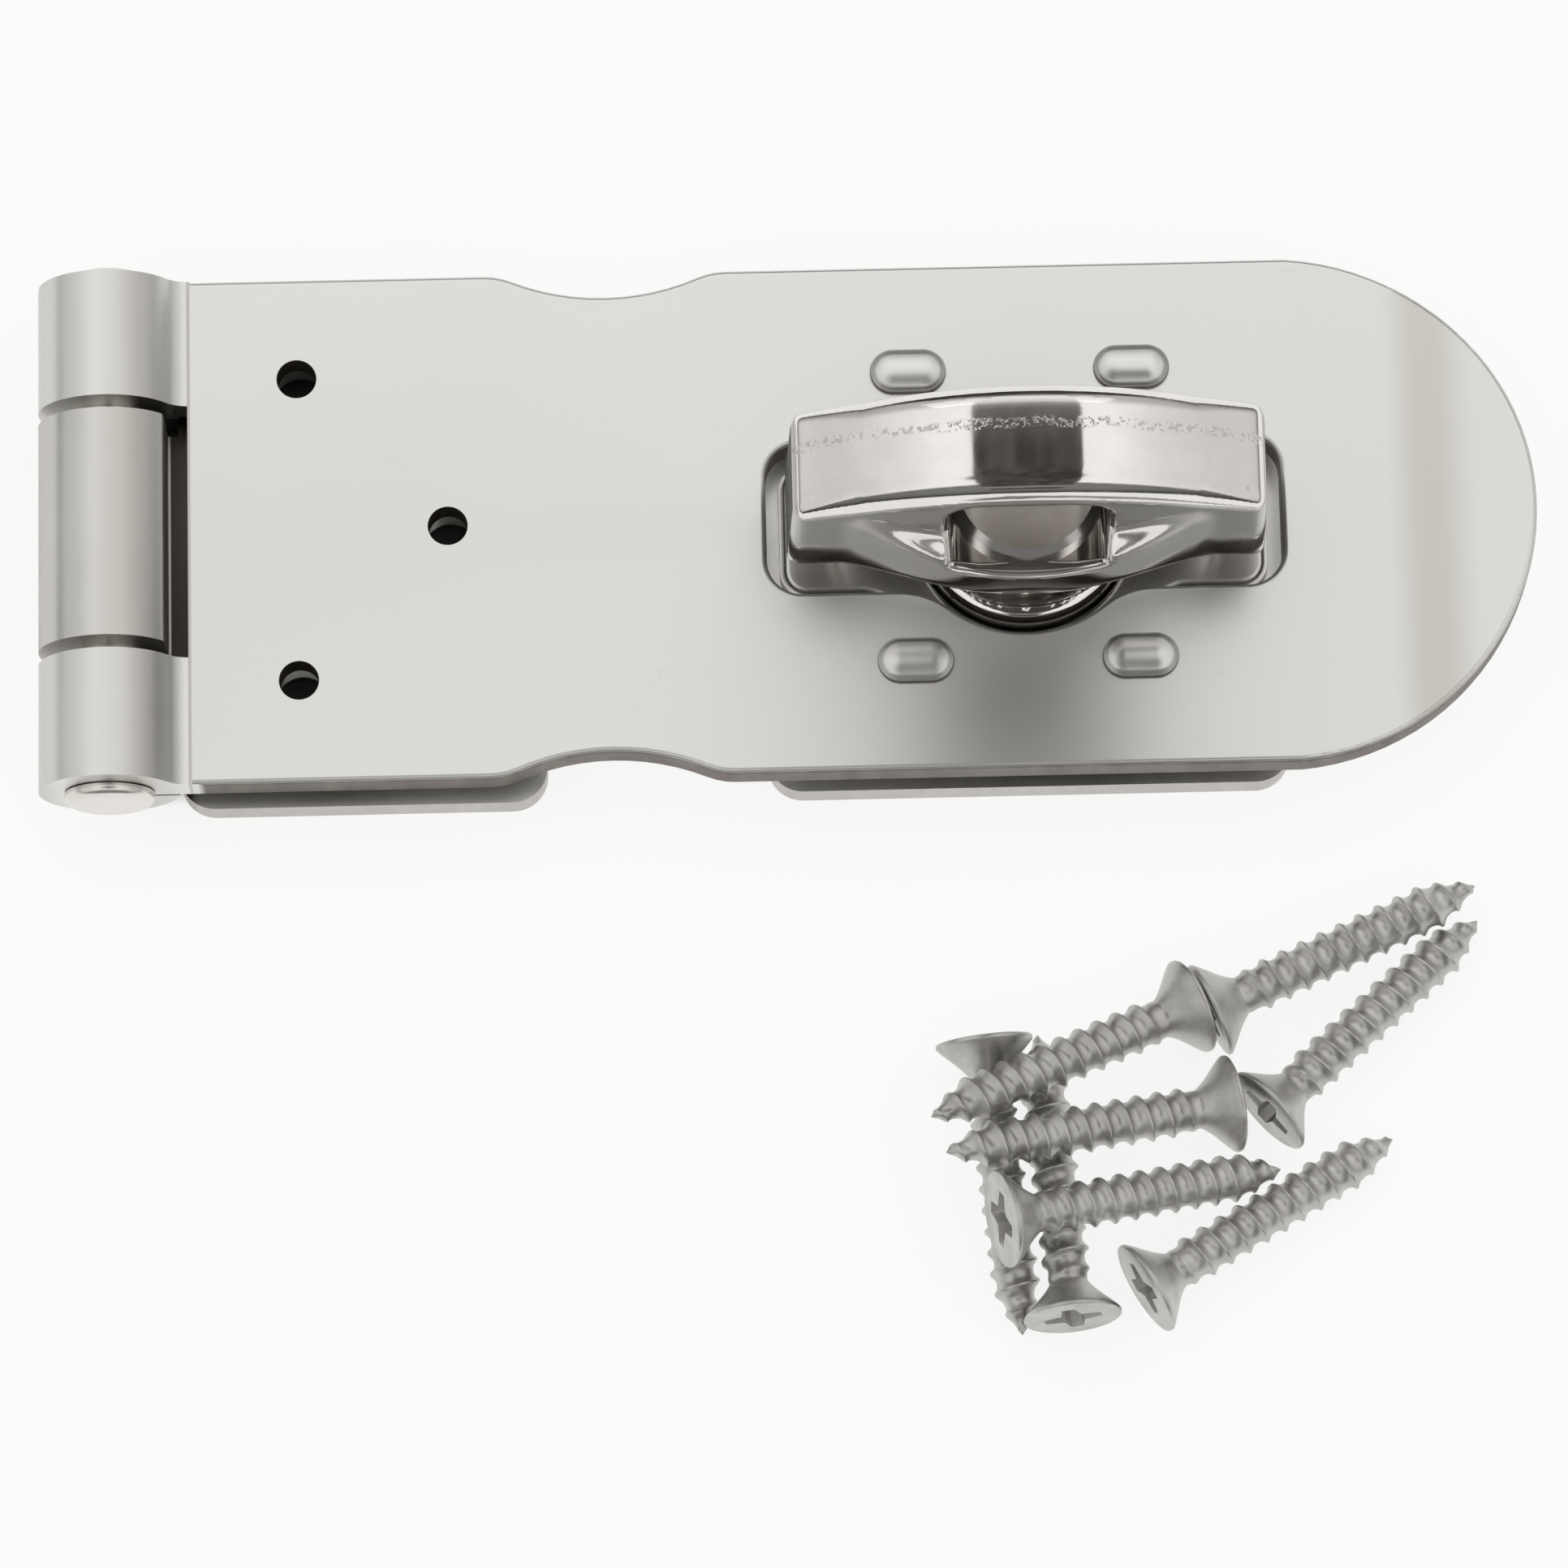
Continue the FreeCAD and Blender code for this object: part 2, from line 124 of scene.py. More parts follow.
# --- node helpers ------------------------------------------------------------------------------------
class Shader:
    """A principled material and a few short ways to add nodes to it."""

    def __init__(self, name):
        self.material = bpy.data.materials.new(name)
        self.material.use_nodes = True
        self.tree = self.material.node_tree
        self.surface = self.tree.nodes["Principled BSDF"]
        self.coordinates = self.tree.nodes.new("ShaderNodeTexCoord")

    def set(self, **values):
        for key, value in values.items():
            self.surface.inputs[key.replace("_", " ")].default_value = value

    def node(self, kind, **settings):
        made = self.tree.nodes.new(kind)
        for key, value in settings.items():
            setattr(made, key, value)
        return made

    def link(self, output, target):
        self.tree.links.new(output, target)

    def feed(self, socket, value):
        if isinstance(value, bpy.types.NodeSocket):
            self.link(value, socket)
        else:
            socket.default_value = value

    def math(self, operation, first, second=0.0, third=0.0):
        made = self.node("ShaderNodeMath", operation=operation)
        for socket, value in zip(made.inputs, (first, second, third)):
            self.feed(socket, value)
        return made.outputs[0]

    def times(self, first, second):
        return self.math("MULTIPLY", first, second)

    def away(self, value, centre):
        """How far a value is from a centre."""
        return self.math("ABSOLUTE", self.math("SUBTRACT", value, centre))

    def place(self, scale=(1.0, 1.0, 1.0)):
        """Object coordinates, stretched."""
        made = self.node("ShaderNodeMapping")
        made.inputs["Scale"].default_value = scale
        self.link(self.coordinates.outputs["Object"], made.inputs["Vector"])
        return made.outputs[0]

    def axes(self):
        """The object coordinates X, Y and Z, in metres."""
        made = self.node("ShaderNodeSeparateXYZ")
        self.link(self.coordinates.outputs["Object"], made.inputs[0])
        return made.outputs

    def facing(self):
        """The object-space normal's X, Y and Z."""
        made = self.node("ShaderNodeSeparateXYZ")
        self.link(self.coordinates.outputs["Normal"], made.inputs[0])
        return made.outputs

    def noise(self, scale, stretch=(1.0, 1.0, 1.0), detail=4.0, roughness=0.5):
        made = self.node("ShaderNodeTexNoise")
        made.inputs["Scale"].default_value = scale
        made.inputs["Detail"].default_value = detail
        made.inputs["Roughness"].default_value = roughness
        self.link(self.place(stretch), made.inputs["Vector"])
        return made.outputs[0]

    def ramp(self, value, low, high, start=0.0, end=1.0):
        """Maps low..high to start..end, smoothly and clamped."""
        made = self.node("ShaderNodeMapRange", interpolation_type="SMOOTHSTEP")
        self.feed(made.inputs["Value"], value)
        made.inputs["From Min"].default_value = low
        made.inputs["From Max"].default_value = high
        made.inputs["To Min"].default_value = start
        made.inputs["To Max"].default_value = end
        return made.outputs[0]

    def blend(self, factor, first, second):
        """A mix of two colours."""
        made = self.node("ShaderNodeMix", data_type="RGBA")
        self.feed(made.inputs[0], factor)
        for socket, value in ((made.inputs[6], first), (made.inputs[7], second)):
            self.feed(socket, value if isinstance(value, bpy.types.NodeSocket) else (*value, 1.0))
        return made.outputs[2]

    def bump(self, *layers):
        """Bump layers of (height, distance in metres, strength), one on top of another."""
        normal = None
        for height, distance, strength in layers:
            made = self.node("ShaderNodeBump")
            made.inputs["Distance"].default_value = distance
            made.inputs["Strength"].default_value = strength
            self.feed(made.inputs["Height"], height)
            if normal is not None:
                self.link(normal, made.inputs["Normal"])
            normal = made.outputs[0]
        self.link(normal, self.surface.inputs["Normal"])

    def colour(self, value):
        self.feed(self.surface.inputs["Base Color"], value)

    def roughness(self, value):
        self.feed(self.surface.inputs["Roughness"], value)


def scratches(shader, scale, stretch, width, density):
    """Thin straight scuffs: the narrow crossing of a stretched noise, kept only in some patches."""
    grain = shader.noise(scale, stretch, detail=1.0)
    off = shader.away(grain, 0.5)
    thin = shader.ramp(off, 0.0, width, 1.0, 0.0)
    patches = shader.ramp(shader.noise(scale * 0.9, detail=2.0), density, density + 0.1)
    return shader.times(thin, patches)


# --- steel finishes ----------------------------------------------------------------------------------
def satin_sheet():
    """Rolled stainless sheet: satin faces, die-rounded rims, torn grey-brown shear bands on the edges."""
    shader = Shader("satin_sheet")
    x, y, z = shader.axes()
    nz = shader.facing()[2]
    cloud = shader.noise(24.0, (1.0, 1.4, 1.0), detail=2.0)
    fine = shader.noise(1300.0, detail=2.0)
    grain = shader.noise(110.0, (1.0, 30.0, 30.0), detail=3.0)
    scuffs = scratches(shader, 160.0, (1.0, 3.5, 1.0), 0.010, 0.62)
    shear = shader.ramp(shader.math("ABSOLUTE", nz), 0.60, 0.25)
    shear = shader.times(shear, shader.ramp(x, 7.4 * MM, 8.2 * MM))
    torn = shader.noise(420.0, (1.0, 1.0, 0.35), detail=4.0, roughness=0.65)
    # painted reflection: the gently bent tip is painted a shade darker and creamier, standing in for the
    # darker tent it reflects
    bend = shader.times(shader.ramp(x, 108.0 * MM, 111.5 * MM),
                       shader.ramp(x, 116.5 * MM, 112.5 * MM))
    face = shader.blend(shader.ramp(cloud, 0.35, 0.7), (0.69, 0.692, 0.672), (0.735, 0.735, 0.715))
    face = shader.blend(shader.times(bend, 0.55), face, (0.50, 0.47, 0.42))
    face = shader.blend(shader.times(scuffs, 0.18), face, (0.56, 0.54, 0.50))
    # painted shade: the rolled knuckle is painted darker and tan on its side towards the leaf and along
    # its outer edge, as shade on its curve
    rolled = shader.times(shader.ramp(x, -1.0 * MM, 2.5 * MM), shader.ramp(x, 6.6 * MM, 4.2 * MM))
    brow = shader.ramp(x, -3.6 * MM, -5.8 * MM)
    painted_knuckle_shade = shader.times(shader.math("MAXIMUM", rolled, brow), knuckle_painted_shade)
    face = shader.blend(painted_knuckle_shade, face, (0.46, 0.43, 0.385))
    # painted shade: a thin dark line along the bend beside the barrel, standing in for the shade of its
    # crease
    crease = shader.ramp(shader.away(x, crease_x * MM), 0.05 * MM, 0.22 * MM, 1.0, 0.0)
    face = shader.blend(shader.times(crease, 0.6), face, (0.36, 0.33, 0.29))
    edge = shader.blend(torn, (0.08, 0.065, 0.055), (0.30, 0.265, 0.235))
    shader.colour(shader.blend(shear, face, edge))
    rough = shader.ramp(cloud, 0.3, 0.75, 0.30, 0.38)
    shader.roughness(shader.math("ADD", rough, shader.times(shear, 0.15)))
    # the stops are pillows: their crown rises to the middle
    along = shader.math("SUBTRACT", shader.away(x, staple_x * MM), stop_x * MM)
    past = shader.math("SUBTRACT", shader.math("ABSOLUTE", along), 0.5 * (stop_length - stop_width) * MM)
    past = shader.math("MAXIMUM", past, 0.0)
    beside = shader.math("SUBTRACT", shader.math("ABSOLUTE", y), stop_y * MM)
    out = shader.math("SQRT", shader.math("ADD", shader.times(past, past), shader.times(beside, beside)))
    share = shader.math("DIVIDE", out, 0.5 * stop_width * MM)
    pillow = shader.math("SUBTRACT", 1.0, shader.times(share, share))
    pillow = shader.math("MAXIMUM", pillow, 0.0)
    pillow = shader.times(pillow, shader.ramp(z, leaf_top * MM, (leaf_top + 0.3) * MM))
    shader.bump((pillow, 0.0006, 1.0), (grain, 0.000010, 0.3), (fine, 0.000008, 0.3),
                (scuffs, 0.000010, 0.4), (shader.times(torn, shear), 0.00018, 0.8))
    shader.set(Metallic=1.0, Anisotropic=0.25)
    return shader.material


def plate_sheet():
    """The base plates' sheet: the same steel, less finished."""
    shader = Shader("plate_sheet")
    nx, ny, nz = shader.facing()
    cloud = shader.noise(45.0, detail=4.0)
    torn = shader.noise(500.0, (1.0, 1.0, 0.35), detail=4.0, roughness=0.65)
    shear = shader.ramp(shader.math("ABSOLUTE", nz), 0.5, 0.2)
    face = shader.blend(shader.ramp(cloud, 0.3, 0.7), (0.60, 0.59, 0.565), (0.70, 0.69, 0.665))
    # painted shade: the knuckles darker and tan at their sides, and painted shadow in the throat beside
    # them that light hardly reaches
    x, _, z = shader.axes()
    rolled = shader.times(shader.ramp(x, -1.5 * MM, 2.0 * MM), shader.ramp(x, 4.6 * MM, 3.6 * MM))
    brow = shader.ramp(x, -3.4 * MM, -5.6 * MM)
    painted_knuckle_shade = shader.times(shader.math("MAXIMUM", rolled, brow), knuckle_painted_shade)
    face = shader.blend(painted_knuckle_shade, face, (0.40, 0.375, 0.34))
    # painted shadow: the throat between knuckle and plate is painted nearly black
    throat = shader.times(shader.ramp(x, 4.9 * MM, 5.1 * MM), shader.ramp(x, 7.4 * MM, 6.4 * MM))
    throat = shader.times(throat, shader.ramp(z, 9.5 * MM, 8.5 * MM))
    face = shader.blend(throat, face, (0.05, 0.042, 0.036))
    edge = shader.blend(torn, (0.33, 0.30, 0.28), (0.62, 0.59, 0.55))
    shader.colour(shader.blend(shader.times(shear, 0.7), face, edge))
    rough = shader.ramp(cloud, 0.3, 0.7, 0.26, 0.36)
    shader.roughness(shader.math("ADD", rough, shader.times(shear, 0.12)))
    shader.bump((shader.noise(700.0, detail=2.0), 0.00001, 0.3),
                (shader.times(torn, shear), 0.00008, 0.5))
    shader.set(Metallic=1.0, Anisotropic=0.2)
    return shader.material


def polished_casting():
    """The mirror-polished staple, with a broken line of pits along its parting line."""
    shader = Shader("polished_casting")
    x, y, z = shader.axes()
    wave = shader.noise(95.0, detail=2.0)
    haze = shader.noise(260.0, detail=4.0, roughness=0.6)
    pits = shader.noise(2300.0, detail=2.0, roughness=0.6)
    swing = shader.math("SUBTRACT", shader.noise(220.0, (1.0, 0.0, 0.0), detail=2.0), 0.5)
    wander = shader.times(swing, 0.0012)
    line = shader.away(shader.math("SUBTRACT", y, parting_line_y * MM), wander)
    near = shader.ramp(line, 0.0001, 0.0006, 1.0, 0.0)
    high = shader.ramp(z, 9.5 * MM, 12.0 * MM)
    pitted = shader.ramp(pits, 0.50, 0.62)
    pitted = shader.times(shader.times(pitted, near), high)
    # painted reflection: the end faces of the ears are painted near black for the dark they reflect, and
    # made dull
    end = shader.ramp(shader.math("ABSOLUTE", shader.facing()[0]), 0.955, 0.985)
    end = shader.times(end, shader.ramp(shader.math("ABSOLUTE", x), 17.5 * MM, 18.5 * MM))
    pitted = shader.times(pitted, shader.math("SUBTRACT", 1.0, end))
    tone = shader.blend(shader.ramp(haze, 0.3, 0.75), (0.76, 0.74, 0.715), (0.83, 0.81, 0.785))
    # painted reflection: near black on the end faces
    tone = shader.blend(end, tone, (0.045, 0.041, 0.038))
    shader.colour(shader.blend(shader.times(pitted, 0.5), tone, (0.42, 0.39, 0.36)))
    rough = shader.math("ADD", shader.ramp(haze, 0.35, 0.8, 0.07, 0.15), shader.times(end, 0.42))
    shader.roughness(shader.math("ADD", rough, shader.times(pitted, 0.12)))
    shader.bump((wave, 0.00005, 0.22), (pitted, 0.00006, 0.6))
    metal = shader.math("SUBTRACT", 1.0, shader.times(end, 0.9))
    shader.feed(shader.surface.inputs["Metallic"], metal)
    return shader.material


def turned_steel(name, tone, rough):
    """Bright turned steel for the pin, the rivet and the washer."""
    shader = Shader(name)
    cloud = shader.noise(160.0, detail=4.0, roughness=0.6)
    rings = shader.noise(1400.0, (1.0, 1.0, 0.2), detail=2.0)
    dark = tuple(0.86 * c for c in tone)
    shader.colour(shader.blend(shader.ramp(cloud, 0.3, 0.72), dark, tone))
    shader.roughness(shader.ramp(cloud, 0.3, 0.75, rough, rough + 0.10))
    shader.bump((rings, 0.000012, 0.3), (cloud, 0.00003, 0.3))
    shader.set(Metallic=1.0, Anisotropic=0.15)
    return shader.material


def screw_steel():
    """Dull, slightly mottled passivated stainless for the loose screws."""
    shader = Shader("screw_steel")
    cloud = shader.noise(420.0, detail=5.0, roughness=0.62)
    grain = shader.noise(2600.0, detail=3.0, roughness=0.6)
    shader.colour(shader.blend(shader.ramp(cloud, 0.3, 0.7), (0.45, 0.44, 0.42), (0.62, 0.61, 0.585)))
    shader.roughness(shader.ramp(cloud, 0.3, 0.75, 0.36, 0.48))
    shader.bump((cloud, 0.00005, 0.35), (grain, 0.00002, 0.35))
    shader.set(Metallic=1.0)
    return shader.material


# --- the turning staple as one smooth casting --------------------------------------------------------
def round_max(a, b, radius):
    """The common part of two shapes, with an edge rounded to the radius."""
    outside = np.hypot(np.maximum(a + radius, 0.0), np.maximum(b + radius, 0.0))
    return np.minimum(np.maximum(a, b), -radius) + outside


def round_min(a, b, radius):
    """Two shapes joined, with a hollow fillet of the radius."""
    return -round_max(-a, -b, radius)


def staple_depth(s, t, z):
    """Signed distance to the casting: s along its ears, t across them, z up. Negative is metal."""
    # arch: a bow over tapering ears, narrowing a little towards its ends
    drop = arch_top - ear_top
    bow_radius = (ear_reach_top ** 2 + drop ** 2) / (2 * drop)
    bow = np.hypot(s, z - (arch_top - bow_radius)) - bow_radius
    taper = (ear_reach_bottom - ear_reach_top) / (ear_top - ear_bottom)
    ends = np.abs(s) - (ear_reach_bottom - taper * (z - ear_bottom))
    side = round_max(bow, ends, bow_end_round)
    side = round_max(side, ear_bottom - z, underside_round)
    narrowing = arch_narrowing * s * s
    # long edges are well rounded over the bow and tighter at the ends
    loss = np.clip((np.abs(s) - arch_loss_start) / arch_loss_length, 0.0, 1.0)
    edge_round = arch_edge_round - arch_end_round_loss * loss
    arch = round_max(side, np.abs(t) + narrowing - arch_half_width - arch_allowance, edge_round)
    # lens-shaped body under the window
    widening = lens_half_width - lens_end_half_width
    lens_radius = (lens_half_length ** 2 + widening ** 2) / (2 * widening)
    lens = np.hypot(s, np.abs(t) + lens_radius - lens_half_width) - lens_radius
    lens = round_max(lens, np.abs(s) - lens_cut, lens_cut_round)
    body_top = window_floor + body_start + body_rise * np.minimum(s * s, body_rise_limit)
    body = round_max(lens, z - body_top, body_top_round)
    body = round_max(body, ear_bottom - z, underside_round)
    whole = round_min(arch, body, body_fillet)
    # foot that turns in the base plate's eye
    foot = round_max(np.hypot(s, t) - foot_radius, z - foot_top, foot_round)
    foot = np.maximum(foot, foot_bottom - z)
    whole = round_min(whole, foot, foot_fillet)
    # padlock window
    window = round_max(np.abs(s) - window_half, z - window_top, window_corner)
    window = round_max(window, window_floor - z, window_floor_round)
    return round_max(whole, -window, window_rim_round)


def smooth_surface(depth, low, high, step):
    """Surface-nets mesh of depth(x, y, z) = 0 inside a box, with every vertex moved onto the surface."""
    counts = [int(round((h - l) / step)) + 1 for l, h in zip(low, high)]
    grid = np.meshgrid(*[l + step * np.arange(n) for l, n in zip(low, counts)], indexing="ij")
    inside = depth(*grid) < 0
    corners = np.zeros([n - 1 for n in counts], int)
    for i in (0, 1):
        for j in (0, 1):
            for k in (0, 1):
                corners += inside[i:counts[0] - 1 + i, j:counts[1] - 1 + j, k:counts[2] - 1 + k]
    crossed = (corners > 0) & (corners < 8)
    index = -np.ones(crossed.shape, int)
    index[crossed] = np.arange(crossed.sum())
    points = (np.argwhere(crossed) + 0.5) * step + np.array(low)
    nudges = 1e-3 * np.eye(3)
    for _ in range(6):
        value = depth(*points.T)
        rises = [depth(*(points + nudge).T) - depth(*(points - nudge).T) for nudge in nudges]
        slope = np.stack(rises, axis=1) / 2e-3
        move = (value / np.maximum((slope ** 2).sum(1), 1e-6))[:, None] * slope
        points -= np.clip(move, -0.5 * step, 0.5 * step)
    faces = []
    for axis in range(3):
        ahead = [slice(None)] * 3
        ahead[axis] = slice(1, None)
        here = [slice(None)] * 3
        here[axis] = slice(None, -1)
        change = inside[tuple(ahead)].astype(int) - inside[tuple(here)]
        other = [a for a in range(3) if a != axis]
        for sign in (1, -1):
            edge = np.argwhere(change == sign)
            keep = (edge[:, other[0]] > 0) & (edge[:, other[1]] > 0)
            edge = edge[keep]
            around = []
            for first, second in ((0, 0), (1, 0), (1, 1), (0, 1)):
                cell = edge.copy()
                cell[:, other[0]] -= first
                cell[:, other[1]] -= second
                around.append(index[tuple(cell.T)])
            quad = np.stack(around, axis=1)
            if (sign == 1) == (axis != 1):
                quad = quad[:, ::-1]
            faces.append(quad)
    return points, np.concatenate(faces)


def mesh_object(name, points, faces):
    """A smooth-shaded object from points in millimetres."""
    mesh = bpy.data.meshes.new(name)
    mesh.from_pydata((np.asarray(points) * MM).tolist(), [], np.asarray(faces).tolist())
    mesh.validate()
    mesh.update()
    mesh.polygons.foreach_set("use_smooth", [True] * len(mesh.polygons))
    made = bpy.data.objects.new(name, mesh)
    bpy.context.scene.collection.objects.link(made)
    return made


def staple_casting(material):
    """The casting in place of the staple's solid, turning with the staple."""
    step = fine_step
    points, faces = smooth_surface(staple_depth, casting_low, casting_high, step)
    points[:, 0] += staple_x
    casting = mesh_object("staple_casting", points, faces)
    casting.data.materials.append(material)
    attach(casting, "staple")
    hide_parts("turn_staple")


# --- wood screws with a true thread ------------------------------------------------------------------
def thread_rows(around):
    """Points of the threaded shank, as sheared rings that follow the helix, and their faces."""
    # share of the pitch, share of the ridge's height
    profile = ((0.0, 0.0), (0.20, 0.03), (0.38, 0.35), (0.50, 0.95),
               (0.58, 1.0), (0.70, 0.62), (0.86, 0.10))
    start = screw_neck
    end = screw_length
    turns = int(math.ceil((end - start) / screw_pitch)) + 1
    points = []
    for turn in range(turns):
        for share, ridge in profile:
            for j in range(around):
                z = start + screw_pitch * (turn - 1 + share + j / around)
                z = min(max(z, start), end)
                shrink = (max(end - z, 0.0) / screw_taper) ** 0.75 if z > end - screw_taper else 1.0
                grow = min(1.0, (z - start) / (0.9 * screw_pitch))
                height = (screw_major_radius - screw_root_radius) * ridge * grow * shrink ** 0.4
                if end - z < screw_bare_tip:
                    height = 0.0
                radius = screw_root_radius * shrink + height
                angle = 2 * math.pi * j / around
                points.append((radius * math.cos(angle), radius * math.sin(angle), z))
    rows = turns * len(profile)
    faces = []
    for i in range(rows - 1):
        for j in range(around):
            this = [i * around + j, (i + 1) * around + j]
            if j + 1 < around:
                following = [(i + 1) * around + j + 1, i * around + j + 1]
            else:
                wrapped = i + len(profile)
                if wrapped + 1 >= rows:
                    continue
                following = [(wrapped + 1) * around, wrapped * around]
            faces.append(this + following)
    return points, faces


def screw_template(material):
    """One screw, head face at the origin and point along +Z."""
    around = 48
    points, faces = thread_rows(around)
    mesh = bmesh.new()
    verts = [mesh.verts.new(p) for p in points]
    for face in faces:
        corners = [verts[i] for i in dict.fromkeys(face)]
        if len(corners) > 2:
            mesh.faces.new(corners)
    bmesh.ops.remove_doubles(mesh, verts=mesh.verts, dist=1e-4)
    bmesh.ops.dissolve_degenerate(mesh, edges=mesh.edges, dist=1e-5)
    # head: flat top, small rim, trumpet-shaped underside
    under_rim = screw_rim + 0.05
    edge_radius = screw_head_radius - head_edge_round
    rings = [(0.0, screw_head_radius - 0.12), (0.05, screw_head_radius - 0.03), (0.12, screw_head_radius),
             (screw_rim - 0.05, screw_head_radius), (under_rim, edge_radius)]
    steps = 10
    for k in range(1, steps + 1):
        share = k / steps
        cone = edge_radius - (edge_radius - screw_root_radius) * share
        hollow = head_hollow * math.sin(math.pi * share) * share
        rings.append((under_rim + (screw_neck - under_rim) * share, max(cone - hollow, screw_root_radius)))
    ring_verts = []
    for z, radius in rings:
        ring_verts.append([mesh.verts.new((radius * math.cos(2 * math.pi * j / around),
                                           radius * math.sin(2 * math.pi * j / around), z))
                           for j in range(around)])
    for upper, lower in zip(ring_verts, ring_verts[1:]):
        for j in range(around):
            k = (j + 1) % around
            mesh.faces.new((upper[j], upper[k], lower[k], lower[j]))
    mesh.faces.new(ring_verts[0])
    bmesh.ops.remove_doubles(mesh, verts=mesh.verts, dist=1e-3)
    bmesh.ops.recalc_face_normals(mesh, faces=mesh.faces)
    data = bpy.data.meshes.new("screw_template")
    mesh.to_mesh(data)
    mesh.free()
    screw = bpy.data.objects.new("screw_template", data)
    bpy.context.scene.collection.objects.link(screw)
    cutter = recess_cutter()
    cut = screw.modifiers.new("recess", "BOOLEAN")
    cut.operation = "DIFFERENCE"
    cut.solver = "EXACT"
    cut.object = cutter
    shape = bpy.data.meshes.new_from_object(screw.evaluated_get(bpy.context.evaluated_depsgraph_get()))
    bpy.data.objects.remove(screw)
    bpy.data.objects.remove(cutter)
    shape.materials.clear()
    shape.materials.append(material)
    return shape


def recess_cutter():
    """A tapering cross with slightly hollow corners, for the driver."""
    def outline(scale, z):
        blade = 0.52 * (0.55 + 0.45 * scale)
        reach = 2.45 * scale
        corner = 0.85 * (0.35 + 0.65 * scale)
        points = []
        for quarter in range(4):
            angle = math.pi / 2 * quarter
            for along, across in ((reach, -blade), (reach, blade), (corner, corner)):
                points.append((along * math.cos(angle) - across * math.sin(angle),
                               along * math.sin(angle) + across * math.cos(angle), z))
        return points

    mesh = bmesh.new()
    levels = [outline(1.08, -0.3), outline(0.98, 0.05), outline(0.62, 1.4), outline(0.25, 2.3)]
    loops = [[mesh.verts.new(p) for p in level] for level in levels]
    for upper, lower in zip(loops, loops[1:]):
        for j in range(len(upper)):
            k = (j + 1) % len(upper)
            mesh.faces.new((upper[j], upper[k], lower[k], lower[j]))
    mesh.faces.new(loops[0])
    mesh.faces.new(loops[-1][::-1])
    bmesh.ops.recalc_face_normals(mesh, faces=mesh.faces)
    data = bpy.data.meshes.new("recess_cutter")
    mesh.to_mesh(data)
    mesh.free()
    cutter = bpy.data.objects.new("recess_cutter", data)
    bpy.context.scene.collection.objects.link(cutter)
    return cutter


def loose_screws(material):
    """The eight screws, each where its solid lies and rolled a little further than the last."""
    shape = screw_template(material)
    for number, (x, y, z, heading, rise) in enumerate(screw_places, 1):
        turn = Matrix.Rotation(math.radians(heading), 4, "Z")
        turn = turn @ Matrix.Rotation(math.radians(90 - rise), 4, "Y")
        roll = Matrix.Rotation(math.radians(37.0 * number), 4, "Z")
        mesh = shape.copy()
        mesh.transform(Matrix.Scale(MM, 4) @ Matrix.Translation((x, y, z)) @ turn @ roll)
        screw = bpy.data.objects.new(f"wood_screw_{number}", mesh)
        bpy.context.scene.collection.objects.link(screw)
        mesh.polygons.foreach_set("use_smooth", [True] * len(mesh.polygons))
        mesh.set_sharp_from_angle(angle=math.radians(38))
        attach(screw, "base_plates")
        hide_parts(f"mounting_screw_{number}")
    bpy.data.meshes.remove(shape)


# --- carried-over nodes ------------------------------------------------------------------------------
def finish_node(name, material):
    """Gives a carried-over solid its finish."""
    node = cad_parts[name]
    for slot in node.material_slots:
        slot.material = material


# --- stage, light and camera -------------------------------------------------------------------------
def glow(shader):
    """The paper's own light, none of it under the two base plates."""
    x, y, _ = shader.axes()
    across = shader.ramp(shader.math("ABSOLUTE", y), 19.0 * MM, 22.0 * MM)
    light = 0.84
    for middle, half in ((17.0, 19.7), (staple_x, 22.1)):
        along = shader.away(x, middle * MM)
        outside = shader.ramp(along, (half - 4.0) * MM, (half - 0.5) * MM)
        light = shader.times(light, shader.math("MAXIMUM", outside, across))
    return light


def floor():
    """Pale paper, lit a little from below so that shadows stay faint."""
    size = 3.0
    mesh = bpy.data.meshes.new("floor")
    corners = ((-size, -size, 0), (size, -size, 0), (size, size, 0), (-size, size, 0))
    mesh.from_pydata(corners, [], [(0, 1, 2, 3)])
    ground = bpy.data.objects.new("floor", mesh)
    bpy.context.scene.collection.objects.link(ground)
    ground.location.z = -0.0001
    shader = Shader("floor_paper")
    shader.set(Roughness=0.9)
    shader.surface.inputs["Emission Color"].default_value = (1.0, 1.0, 0.995, 1.0)
    shader.link(glow(shader), shader.surface.inputs["Emission Strength"])
    shader.colour(shader.blend(shader.noise(8.0, detail=2.0), (0.15, 0.15, 0.15), (0.17, 0.17, 0.17)))
    mesh.materials.append(shader.material)


